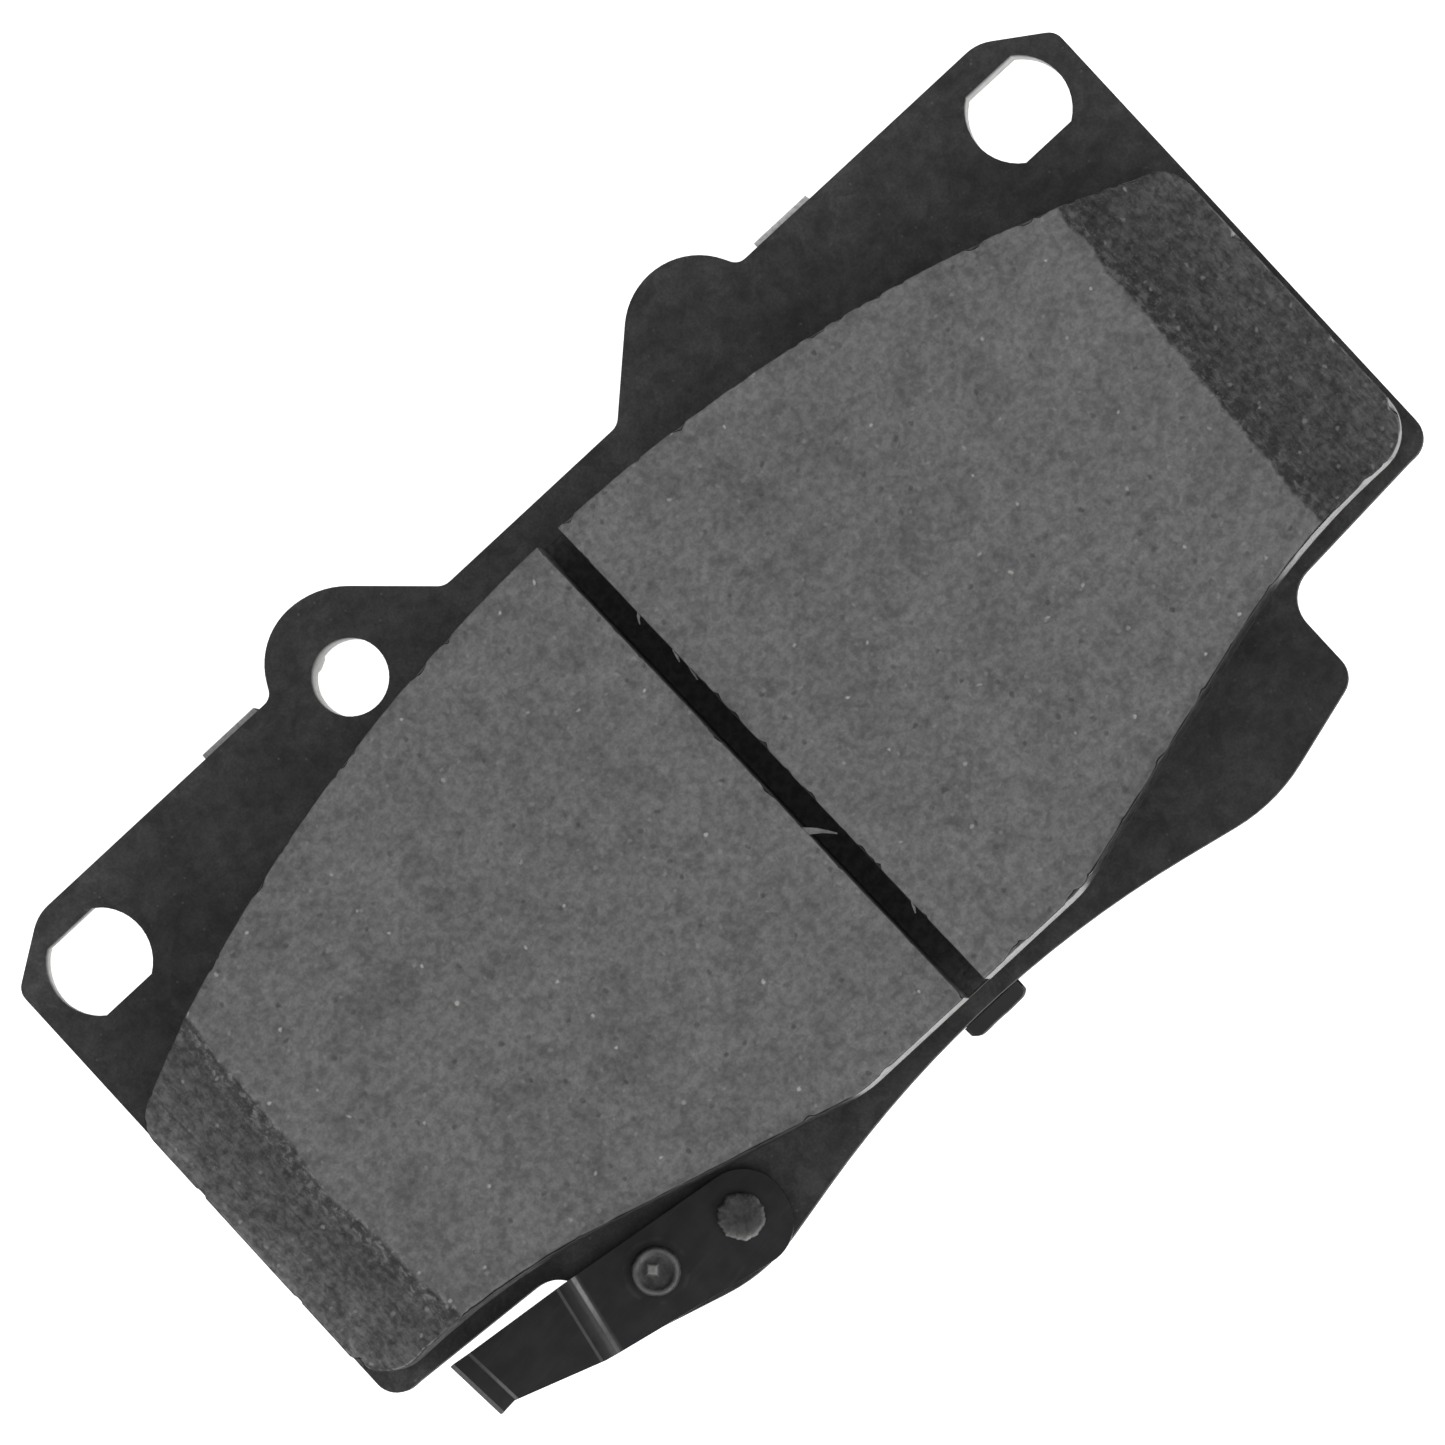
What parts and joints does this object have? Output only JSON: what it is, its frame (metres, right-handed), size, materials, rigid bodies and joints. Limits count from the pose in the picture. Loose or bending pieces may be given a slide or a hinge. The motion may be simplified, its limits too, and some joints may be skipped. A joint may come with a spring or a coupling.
{
  "type": "disc brake pad",
  "caption": "Steel-backed disc brake pad for a fixed calliper, with a slotted and chamfered friction block, a clip-on noise shim and a riveted wear indicator.",
  "frame": {"origin": "under the middle of the pad's outline, on the outer face of the shim that the pistons push", "axes": "+X along the pad's length, +Y towards the edge with the pin holes, +Z towards the brake disc"},
  "size_m": [0.12, 0.0686, 0.0165],
  "materials": {
    "plate_coating": "satin black coating over stamped steel",
    "adhesive": "cured phenolic adhesive",
    "underlayer": "matt moulded underlayer with metal fibres",
    "lining": "matt ground friction compound with pits and bright specks",
    "damping_rubber": "matt",
    "shim_steel": "thin dark coat on steel sheet, bare where the upper tabs were sheared",
    "spring_steel": "blackened spring steel, smooth",
    "rivet_steel": "dark phosphated steel, peened"
  },
  "bodies": {
    "root": {"backing_plate": "plate_coating", "adhesive_film": "adhesive", "underlayer": "underlayer", "friction_lining": "lining", "shim_damping_layer": "damping_rubber", "shim_sheet": "shim_steel", "wear_indicator": "spring_steel", "indicator_rivet_end": "rivet_steel", "indicator_rivet_middle": "rivet_steel"}
  },
  "joints": []
}
